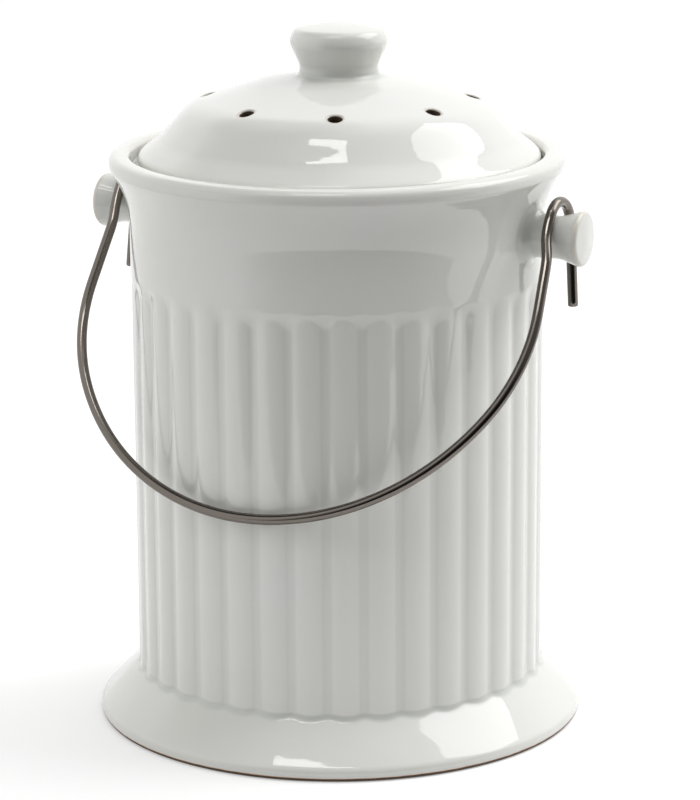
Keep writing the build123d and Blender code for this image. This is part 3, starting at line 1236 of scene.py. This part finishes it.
def bare_clay(tree, place):
    """Shares of bare clay, which is painted dark with shade: where the foot was wiped, and with the vents
    added.
    """
    height = add_node(tree, "ShaderNodeSeparateXYZ", {0: place}).outputs["Z"]
    line = maths(tree, "MULTIPLY_ADD", mottle(tree, place, waver_size, 3.0), -wipe_waver * MM, height)
    wiped = ramp(tree, line, wipe_heights[0] * MM, wipe_heights[1] * MM, 0.0, 1.0)
    return wiped, maths(tree, "MAXIMUM", wiped, remembered(tree, "unglazed_and_shaded"))


def ware_colour(tree, place, wiped, bare):
    """Glaze, a rusty line at its end, and then brown clay darkened by painted shade."""
    rust = ramp(tree, wiped, 0.0, rusty_share, 0.0, 1.0)
    fired_shaded = ramp(tree, bare, rusty_share, fired_shaded_share, 0.0, 1.0)
    # The clay's brown is partly its own colour and partly painted shade, for the foot's contact shadow and
    # the insides of the vents.
    clay = blend(tree, mottle(tree, place, grit_size, 4.0), "#40352a", "#5e4c3b")
    return blend(tree, fired_shaded, blend(tree, rust, glaze_colour(tree, place), "#c08a58"), clay)


print("glaze ends", wipe_heights[1], "to", wipe_heights[0] + wipe_waver, "mm above the table")

# %% [markdown]
# Glaze is glass. Its IOR is a little over 1.5, and it flows smooth, so that
# reflections are sharp. But it runs while it melts, and the body below shrinks
# unevenly: long low waves and a soft orange peel bend each reflection.

# %% Glazed stoneware
glaze_ior = 1.56
glaze_roughness = 0.035
clay_roughness = 0.8
wave_size = 18.0
wave_depth = 0.22
peel_size = 5.0
peel_depth = 0.025


def glazed_stoneware():
    """The finish of crock and lid, glossy where it is glazed and dull where it is bare."""
    finish, tree, surface = new_finish("glazed_stoneware")
    place = add_node(tree, "ShaderNodeTexCoord").outputs["Object"]
    wiped, bare = bare_clay(tree, place)
    waves = relief(tree, mottle(tree, place, wave_size, 1.0), wave_depth)
    peel = relief(tree, mottle(tree, place, peel_size, 2.0), peel_depth, {"Normal": waves})
    ware = add_node(tree, "ShaderNodeBsdfPrincipled", {
        "IOR": glaze_ior,
        "Base Color": ware_colour(tree, place, wiped, bare),
        "Roughness": ramp(tree, bare, 0.0, 1.0, glaze_roughness, clay_roughness),
        "Normal": peel,
    })
    tree.links.new(ware.outputs[0], surface)
    return finish


stoneware = glazed_stoneware()
wear(crock, stoneware)
wear(lid, stoneware)

# %% [markdown]
# Drawn stainless wire: pulled through a die and then tumbled bright. The die
# leaves fine lines along the wire, which spread a reflection sideways a little
# more than along it.

# %% Drawn steel wire
die_line_scale = 9.0
die_line_stretch = 0.02
die_line_depth = 0.01
steel_roughness = (0.06, 0.12)


def drawn_steel_wire():
    """Bright stainless wire with faint die lines along its length."""
    finish, tree, surface = new_finish("drawn_steel_wire")
    around = remembered(tree, "around_wire")
    place = add_node(tree, "ShaderNodeCombineXYZ", {
        0: maths(tree, "COSINE", around),
        1: maths(tree, "SINE", around),
        2: maths(tree, "MULTIPLY", remembered(tree, "along_wire"), die_line_stretch),
    })
    lines = add_node(tree, "ShaderNodeTexNoise", {
        "Vector": place.outputs[0],
        "Scale": die_line_scale,
        "Detail": 3.0,
    }).outputs["Fac"]
    steel = add_node(tree, "ShaderNodeBsdfPrincipled", {
        "Base Color": linear("#706a64"),
        "Metallic": 1.0,
        "Roughness": ramp(tree, lines, 0.0, 1.0, *steel_roughness),
        "Normal": relief(tree, lines, die_line_depth, {"Strength": 0.5}),
    })
    tree.links.new(steel.outputs[0], surface)
    return finish


wear(bail, drawn_steel_wire())

# %% [markdown]
# The pad is activated carbon fibre, needled loosely: nearly black, with no
# gloss, and hairs a few hundredths of a millimetre thick. The felt is undyed
# polyester with a little sheen from its ends. Hairs are the borders between the
# cells of a pushed-about pattern, about a millimetre across, since finer ones
# wouldn't show.

# %% Fibre finishes
def tangled_place(tree, hair):
    """The place on a piece, pushed about so that straight hairs come out curled."""
    place = add_node(tree, "ShaderNodeTexCoord").outputs["Object"]
    bend = add_node(tree, "ShaderNodeTexNoise", {
        "Vector": place,
        "Scale": 1 / (8 * hair * MM),
        "Detail": 2.0,
    })
    return add_node(tree, "ShaderNodeVectorMath", {
        "operation": "MULTIPLY_ADD",
        0: bend.outputs["Color"],
        1: (6 * hair * MM, 6 * hair * MM, 6 * hair * MM),
        2: place,
    }).outputs[0]


def needled_fibre(name, dark, light, hair, depth, sheen):
    """A matt ply of tangled hairs between two colours, the paler on the raised hairs and the darker as
    painted shade between them; hair and depth are in millimetres.
    """
    finish, tree, surface = new_finish(name)
    place = tangled_place(tree, hair)
    hairs = add_node(tree, "ShaderNodeTexVoronoi", {
        "feature": "DISTANCE_TO_EDGE",
        "Vector": place,
        "Scale": 1 / (2.2 * hair * MM),
    })
    strand = ramp(tree, hairs.outputs["Distance"], 0.0, 0.18, 1.0, 0.0)
    # The colour follows the bump's height, so the gaps between hairs get painted shade.
    height = maths(tree, "MULTIPLY_ADD", strand, 0.6, mottle(tree, place, hair, 3.0))
    fibre = add_node(tree, "ShaderNodeBsdfPrincipled", {
        "Roughness": 0.95,
        "Sheen Weight": sheen,
        "Sheen Roughness": 0.5,
        "Base Color": blend(tree, height, dark, light),
        "Normal": relief(tree, height, depth),
    })
    tree.links.new(fibre.outputs[0], surface)
    return finish


wear(pad, needled_fibre("carbon_fibre", "#141416", "#37373a", 0.5, 0.4, 0.1))
wear(felt, needled_fibre("polyester_felt", "#b3b2aa", "#dcdbd4", 0.4, 0.2, 0.3))

# %% [markdown]
# The studio: white paper that runs on behind the keeper and ends 450 mm before
# it, where the table ends. That edge is out of the picture, but the glazed neck
# mirrors it as the border between a light and a dark band. The paper takes the
# object's shadow. In the camera's rays, and in what shines on glaze and wire,
# it glows just enough to reach white where no shadow lies.

# %% Floor
floor_half = 4000.0
floor_before = 450.0
paper_white = "#e6e6e6"
paper_glow = 0.3
front = Vector((sin(radians(camera_turn)), -cos(radians(camera_turn)), 0.0))


def make_floor():
    """A large level floor at the height the keeper stands on, with an edge before it."""
    mesh = bpy.data.meshes.new("studio_floor")
    right = Vector((-front.y, front.x, 0.0))
    near = front * floor_before * MM
    far = -front * floor_half * MM
    across = right * floor_half * MM
    corners = [near - across, near + across, far + across, far - across]
    mesh.from_pydata([tuple(corner) for corner in corners], [], [(0, 1, 2, 3)])
    floor = bpy.data.objects.new("studio_floor", mesh)
    bpy.context.scene.collection.objects.link(floor)
    return floor


def seen_straight(tree, path):
    """One for the rays that the camera sends out, also through clear things, and zero for others."""
    return maths(tree, "MAXIMUM", path["Is Camera Ray"], path["Is Transmission Ray"])


def white_paper():
    """White background paper, see-through from below."""
    finish, tree, surface = new_finish("white_paper")
    path = add_node(tree, "ShaderNodeLightPath").outputs
    shown = maths(tree, "MAXIMUM", seen_straight(tree, path), path["Is Glossy Ray"])
    paper = add_node(tree, "ShaderNodeBsdfDiffuse", {"Color": linear(paper_white)})
    glow = add_node(tree, "ShaderNodeEmission", {
        "Color": (1, 1, 1, 1),
        "Strength": maths(tree, "MULTIPLY", shown, paper_glow),
    })
    both = add_node(tree, "ShaderNodeAddShader", {0: paper.outputs[0], 1: glow.outputs[0]})
    clear = add_node(tree, "ShaderNodeBsdfTransparent")
    side = add_node(tree, "ShaderNodeNewGeometry")
    seen = add_node(tree, "ShaderNodeMixShader", {
        0: side.outputs["Backfacing"],
        1: both.outputs[0],
        2: clear.outputs[0],
    })
    tree.links.new(seen.outputs[0], surface)
    return finish


floor = make_floor()
wear(floor, white_paper())

# %% [markdown]
# The room is white, but not the same all round, and glaze and wire mirror
# that. Its near side is dim, which gives the neck its depth, and darkest where
# the photographer stands, which gives the wire its black core. It is dim high
# up at the far left too, and brighter round the window on the right. Rays that
# go straight to the camera see plain white in every direction.

# %% World
window_wall_level = 1.5
rest_level = 1.14
room = bpy.data.worlds.new("studio_room")
bpy.context.scene.world = room
room.use_nodes = True


def towards(azimuth, elevation):
    """Direction from the keeper in degrees; azimuth 0 is the photographer's side, plus is right."""
    turn = radians(camera_turn + azimuth)
    rise = radians(elevation)
    return Vector((sin(turn) * cos(rise), -cos(turn) * cos(rise), sin(rise)))


def patch(tree, way, azimuth, elevation, inner, outer, level, rest=1.0):
    """A round part of the room at its own level, fading to the rest from an inner to an outer angle."""
    facing = add_node(tree, "ShaderNodeVectorMath", {
        "operation": "DOT_PRODUCT",
        0: way,
        1: towards(azimuth, elevation),
    })
    return add_node(tree, "ShaderNodeMapRange", {
        "interpolation_type": "SMOOTHSTEP",
        0: facing.outputs["Value"],
        1: cos(radians(outer)),
        2: cos(radians(inner)),
        3: rest,
        4: level,
    }).outputs[0]


def light_room(tree):
    """Environment: white for the camera, and four patches of other levels for other rays."""
    tree.nodes.clear()
    output = tree.nodes.new("ShaderNodeOutputWorld")
    path = add_node(tree, "ShaderNodeLightPath").outputs
    way = add_node(tree, "ShaderNodeTexCoord").outputs["Generated"]
    studio_side = patch(tree, way, 22.0, -8.0, inner=60.0, outer=79.0, level=0.24)
    photographer = patch(tree, way, 8.0, -6.0, inner=30.0, outer=48.0, level=0.12)
    far_left = patch(tree, way, 235.0, 62.0, inner=14.0, outer=34.0, level=0.1)
    window_wall = patch(tree, way, 105.0, 48.0, 22.0, 58.0, window_wall_level, rest_level)
    level = studio_side
    for part in (photographer, far_left, window_wall):
        level = maths(tree, "MULTIPLY", level, part)
    strength = add_node(tree, "ShaderNodeMix", {
        "data_type": "FLOAT",
        0: seen_straight(tree, path),
        2: level,
        3: 1.0,
    })
    air = add_node(tree, "ShaderNodeBackground", {
        "Color": (1, 1, 1, 1),
        "Strength": strength.outputs[0],
    })
    tree.links.new(air.outputs[0], output.inputs[0])


light_room(room.node_tree)
print("the room is 1.0 to the camera,", rest_level, "all round and", window_wall_level, "at the window")

# %% [markdown]
# Three soft boxes stand in the room, all aimed at the keeper. The window is
# large and stands at the right: it shapes the ware and shows as a white pane on
# the lid and the foot. Two narrow ones over the photographer's head only draw
# highlights, one on the lid's shoulder and one along the edge of the foot. All
# are dim, so that a colour renders about as it is written.

# %% Lamps
lamp_distance = 1500.0
aim_height = 150.0


def soft_box(name, azimuth, elevation, width, height, power):
    """A rectangular lamp aimed at the keeper, its sizes in millimetres and its power in watts."""
    away = towards(azimuth, elevation)
    lamp = bpy.data.lights.new(name, "AREA")
    lamp.shape = "RECTANGLE"
    lamp.size = width * MM
    lamp.size_y = height * MM
    lamp.energy = power
    stand = bpy.data.objects.new(name, lamp)
    stand.location = (Vector((0.0, 0.0, aim_height)) + away * lamp_distance) * MM
    stand.rotation_euler = away.to_track_quat("Z", "Y").to_euler()
    bpy.context.scene.collection.objects.link(stand)
    print(name, power, "W at", [round(v, 2) for v in stand.location])


soft_box("window", 101.0, 46.0, width=1120.0, height=830.0, power=9.0)
soft_box("top_light", -17.0, 73.5, width=430.0, height=110.0, power=0.9)
soft_box("front_light", -18.0, 58.5, width=850.0, height=90.0, power=1.4)

# %% [markdown]
# At the end the scene is brought up to date, and colours are shown through the
# Standard view, without a curve.

# %% The end
bpy.context.view_layer.update()
bpy.context.scene.view_settings.view_transform = "Standard"
